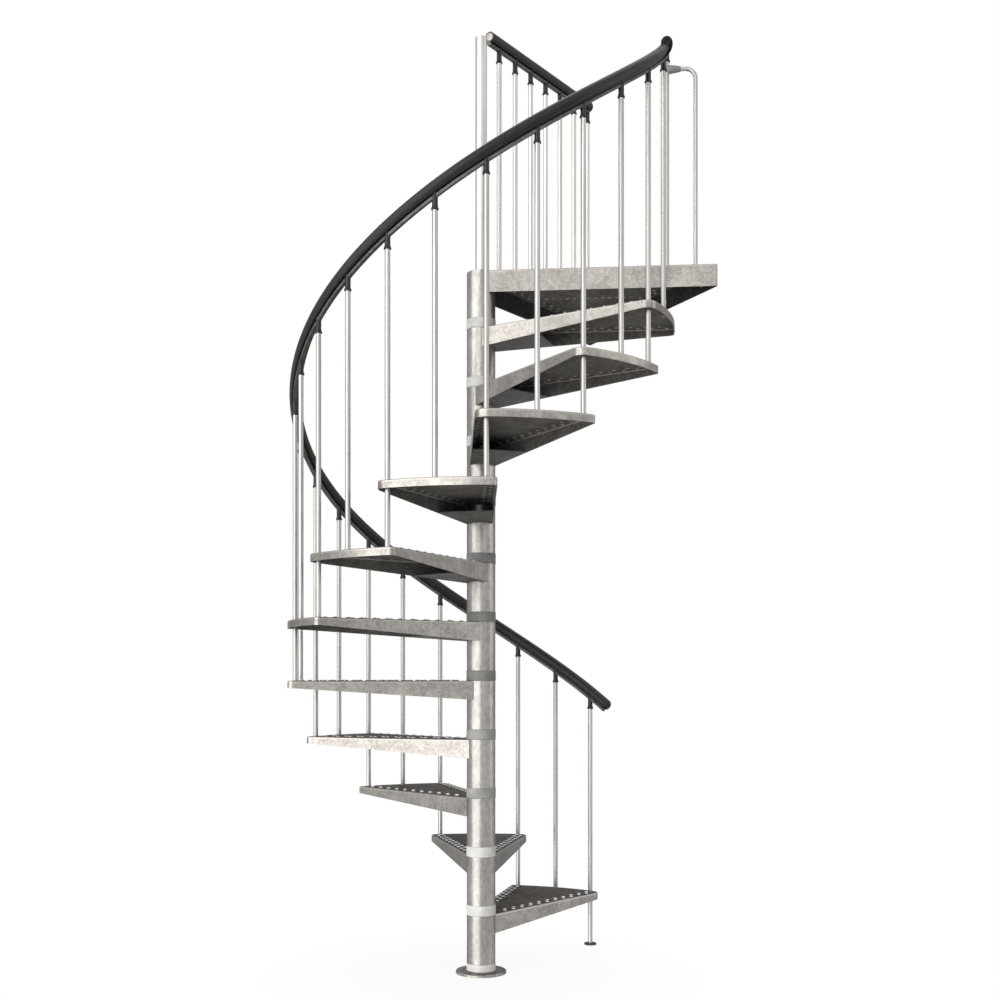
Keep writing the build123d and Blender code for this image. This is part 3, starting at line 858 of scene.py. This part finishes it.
# The newel post and landing tubes take a paler copy of the tubes' zinc: painted light, as they show brighter
# lit.
newel_zinc_painted_light = galvanised("newel_zinc_painted_light", (0.45, 0.437, 0.42), (0.55, 0.535, 0.515), 0.82, 0.31, (1, 1, 0.06),
                        grain=0.0)
newel = bmesh.new()
newel_length = newel_top - newel_bottom
turned(newel, [(0, 0), (newel_radius, 0), (newel_radius, newel_length - 2.2),
               (newel_radius - 0.8, newel_length - 0.7), (newel_radius - 2.4, newel_length),
               (0, newel_length)],
       Matrix.Translation((0, 0, newel_bottom)), 64)
fit_piece("newel_tube", newel, [newel_zinc_painted_light], "galvanised_tube", "newel_post")

posts = bmesh.new()
post_caps = bmesh.new()
for post in range(post_count):
    spot = rail_way * (post_first + post * (post_last - post_first) / (post_count - 1)) + up * landing_top
    turned(posts, tube_profile(baluster_radius, landing_cap_bottom), Matrix.Translation(spot), 32)
    place = Matrix.Translation(spot + up * landing_cap_bottom)
    place = place @ Matrix.Rotation(landing_half_angle - math.pi / 2, 4, "Z")
    add_cap(post_caps, place, 0, landing_rail_height - landing_cap_bottom)
weld(post_caps)
fit_piece("landing_tubes", posts, [newel_zinc_painted_light], "galvanised_tube", "landing_balusters")
fit_piece("landing_forked_caps", post_caps, [cap_black], "black_plastic", "landing_caps")

# Landing handrail. The same moulding and strip, straight and level from the newel post along the
# landing's side. A bar from the post enters the strip, and a turned button closes the near end.
rail_level = landing_top + landing_rail_height
rail_start = 53.0
rail_end_margin = 42.5
rail_far = landing_side - rail_end_margin - rail_radius
level_rail_steps = 24
bar_half_width = 7.0
bar_top = -18.4
bar_bottom = -30.0
bar_bevel = 0.6
bar_in_newel = 1.5
button_radius = 17.0

level_rail = bmesh.new()
level_rail.verts.layers.float.new("wear_and_sheen")
level_rail.verts.layers.float.new("polished")
rail_stations = [rail_start + (rail_far - rail_start) * i / level_rail_steps
                 for i in range(level_rail_steps + 1)]
rows = sweep_section(level_rail, [(rail_way * s + up * rail_level, rail_across, up) for s in rail_stations],
                     rail_section)
level_rail.faces.new(rows[0])
round_off(level_rail, rail_way * rail_far + up * rail_level, rail_across, up, rail_way)
weld(level_rail)
fit_piece("landing_rail_moulding", level_rail, [rail_black, strip_grey], "black_plastic", "landing_handrail")

bracket = bmesh.new()
bar_flat = bar_half_width - bar_bevel
bar_section = [
    (-bar_flat, bar_bottom), (bar_flat, bar_bottom), (bar_half_width, bar_bottom + bar_bevel),
    (bar_half_width, bar_top - bar_bevel), (bar_flat, bar_top), (-bar_flat, bar_top),
    (-bar_half_width, bar_top - bar_bevel), (-bar_half_width, bar_bottom + bar_bevel),
]
bar_ends = [(rail_way * s + up * rail_level, rail_across, up)
            for s in (newel_radius - bar_in_newel, rail_start)]
rows = sweep_section(bracket, bar_ends, bar_section)
for row in rows:
    bracket.faces.new(row)
for face in bracket.faces:
    face.material_index = 0
face_back = Matrix((
    (rail_across.x, 0, -rail_way.x, 0), (rail_across.y, 0, -rail_way.y, 0), (0, 1, 0, 0), (0, 0, 0, 1)))
button_place = Matrix.Translation(rail_way * rail_start + up * rail_level) @ face_back
turned(bracket, [(0, 0), (button_radius, 0), (button_radius, 1.4), (button_radius - 0.8, 2.3),
                 (button_radius - 3.0, 3.2), (button_radius - 7.0, 3.8), (0, 4.0)], button_place, 48)
weld(bracket)
fit_piece("rail_end_button", bracket, [bolt_steel], "galvanised_steel", "landing_rail_bracket")

# Gap rod. A round bar, bent once, that closes the space between the last baluster and the upper floor.
# It stands on the landing, and a turned clamp with a grub screw joins it to the baluster.
rod_radius = 7.5
rod_level = landing_top + 723.0
rod_bend = 37.0
rod_gap = 104.0
rod_circle = baluster_circle + rod_gap
rod_sides = 28
rod_bend_steps = 12
collar_radius = 15.0
collar_length = 50.0
grub_screw_place = 30.0
rod_angle = math.radians(last_nosing_angle)
rod_out = Vector((math.cos(rod_angle), math.sin(rod_angle), 0))
rod_side = Vector((-rod_out.y, rod_out.x, 0))

rod_places = [(rod_out * rod_circle + up * height, rod_side, rod_out)
              for height in (landing_top, rod_level - rod_bend)]
for i in range(1, rod_bend_steps + 1):
    lean = math.pi / 2 * i / rod_bend_steps
    point = rod_out * (rod_circle - rod_bend * (1 - math.cos(lean)))
    point += up * (rod_level - rod_bend * (1 - math.sin(lean)))
    rod_places.append((point, rod_side, rod_out * math.cos(lean) + up * math.sin(lean)))
rod_places.append((rod_out * (baluster_circle + collar_length) + up * rod_level, rod_side, up))
rod = bmesh.new()
rows = sweep_section(rod, rod_places, round_of(rod_radius, rod_sides))
for row in (rows[0], rows[-1]):
    rod.faces.new(row)
weld(rod)
fit_piece("bent_gap_rod", rod, [drawn_tube], "galvanised_tube", "gap_rod")

collar_grey = moulded("collar_grey", (0.30, 0.29, 0.283), (0.43, 0.418, 0.408), 0.5, 900.0, 0.0003, 0.3)
collar = bmesh.new()
along_out = Matrix((
    (rod_side.x, 0, rod_out.x, 0), (rod_side.y, 0, rod_out.y, 0), (0, 1, 0, 0), (0, 0, 0, 1)))
collar_place = Matrix.Translation(rod_out * baluster_circle + up * rod_level) @ along_out
turned(collar, [(0, -14.0), (collar_radius - 1.6, -14.0), (collar_radius, -12.4), (collar_radius, 15.4),
                (collar_radius - 0.4, 17.0), (9.9, 49.0), (9.1, collar_length), (0, collar_length)],
       collar_place, 40)
screw_place = collar_place @ Matrix.Translation((0, 0, grub_screw_place))
screw_place = screw_place @ Matrix.Rotation(-math.pi / 2, 4, "X")
turned(collar, [(0, 9.0), (3.0, 9.0), (3.0, 13.6), (2.5, 14.2), (1.4, 14.2), (1.2, 13.0), (0, 13.0)],
       screw_place, 6)
weld(collar)
fit_piece("gap_rod_clamp", collar, [collar_grey], "grey_plastic", "gap_rod_collar")

# Studio. The camera sees a white floor and a white background, and reflections see the background alone.
# The light that both give to the stair is dimmer. Four broad soft lamps light it, mostly from the left.
floor_radius = 14.0
floor_drop = 0.001
floor_grey = (0.45, 0.45, 0.45, 1)
floor_white = (0.9, 0.9, 0.9, 1)
shadow_reach = (0.2, 0.9)
white_share = (0.92, 1.0)
world_light = 0.25
lamp_distance = 6.0

ground = bmesh.new()
bmesh.ops.create_circle(ground, cap_ends=True, segments=64, radius=floor_radius)
ground_mesh = bpy.data.meshes.new("studio_floor")
ground.to_mesh(ground_mesh)
ground.free()
floor = bpy.data.objects.new("studio_floor", ground_mesh)
floor.location.z = -floor_drop
floor.visible_shadow = False
floor.visible_glossy = False
bpy.context.scene.collection.objects.link(floor)


def seen_directly(tree):
    """1 for what the camera, a reflection or glass sees, and 0 for the light that reaches the stair."""
    path = tree.nodes.new("ShaderNodeLightPath")
    total = path.outputs["Is Camera Ray"]
    for name in ("Is Glossy Ray", "Is Transmission Ray"):
        add = tree.nodes.new("ShaderNodeMath")
        add.operation = "MAXIMUM"
        tree.links.new(total, add.inputs[0])
        tree.links.new(path.outputs[name], add.inputs[1])
        total = add.outputs[0]
    return total


floor_paint = bpy.data.materials.new("floor_paint")
floor_paint.use_nodes = True
paint = floor_paint.node_tree
paint.nodes.remove(paint.nodes["Principled BSDF"])
seen = seen_directly(paint)
from_axis = add_node(paint, "TexCoord").outputs["Object"]
length = paint.nodes.new("ShaderNodeVectorMath")
length.operation = "LENGTH"
paint.links.new(from_axis, length.inputs[0])
fade = add_node(paint, "MapRange", Value=length.outputs["Value"], From_Min=shadow_reach[0],
                From_Max=shadow_reach[1], To_Min=white_share[0], To_Max=white_share[1])
share = paint.nodes.new("ShaderNodeMath")
share.operation = "MULTIPLY"
paint.links.new(seen, share.inputs[0])
paint.links.new(fade.outputs["Result"], share.inputs[1])
tone = mixed(paint, seen, floor_grey, floor_white, "RGBA")
matte = add_node(paint, "BsdfDiffuse", Color=tone)
glow = add_node(paint, "Emission", Color=(1, 1, 1, 1), Strength=1.0)
blend = paint.nodes.new("ShaderNodeMixShader")
paint.links.new(share.outputs[0], blend.inputs[0])
paint.links.new(matte.outputs[0], blend.inputs[1])
paint.links.new(glow.outputs[0], blend.inputs[2])
paint.links.new(blend.outputs[0], paint.nodes["Material Output"].inputs["Surface"])
floor.data.materials.append(floor_paint)

world = bpy.data.worlds.new("white_studio")
bpy.context.scene.world = world
world.use_nodes = True
sky = world.node_tree
dim = add_node(sky, "Background", Color=(1, 1, 1, 1), Strength=world_light)
white = add_node(sky, "Background", Color=(1, 1, 1, 1), Strength=1.0)
sky.nodes.remove(sky.nodes["Background"])
blend = sky.nodes.new("ShaderNodeMixShader")
sky.links.new(seen_directly(sky), blend.inputs[0])
sky.links.new(dim.outputs[0], blend.inputs[1])
sky.links.new(white.outputs[0], blend.inputs[2])
sky.links.new(blend.outputs[0], sky.nodes["World Output"].inputs["Surface"])

for name, azimuth, height, strength, spread in (
    ("lamp_left", -157.0, 10.0, 2.9, 72.0),
    ("lamp_front", -95.0, 25.0, 0.25, 60.0),
    ("lamp_right", -25.0, 12.0, 0.3, 36.0),
    ("lamp_above", 100.0, 75.0, 0.6, 100.0),
):
    lamp = bpy.data.lights.new(name, "SUN")
    lamp.energy = strength
    lamp.angle = math.radians(spread)
    holder = bpy.data.objects.new(name, lamp)
    flat, tall = math.radians(azimuth), math.radians(height)
    source = Vector((math.cos(flat) * math.cos(tall), math.sin(flat) * math.cos(tall), math.sin(tall)))
    holder.rotation_euler = source.to_track_quat("Z", "Y").to_euler()
    holder.location = source * lamp_distance
    bpy.context.scene.collection.objects.link(holder)

bpy.context.scene.view_settings.view_transform = "Standard"
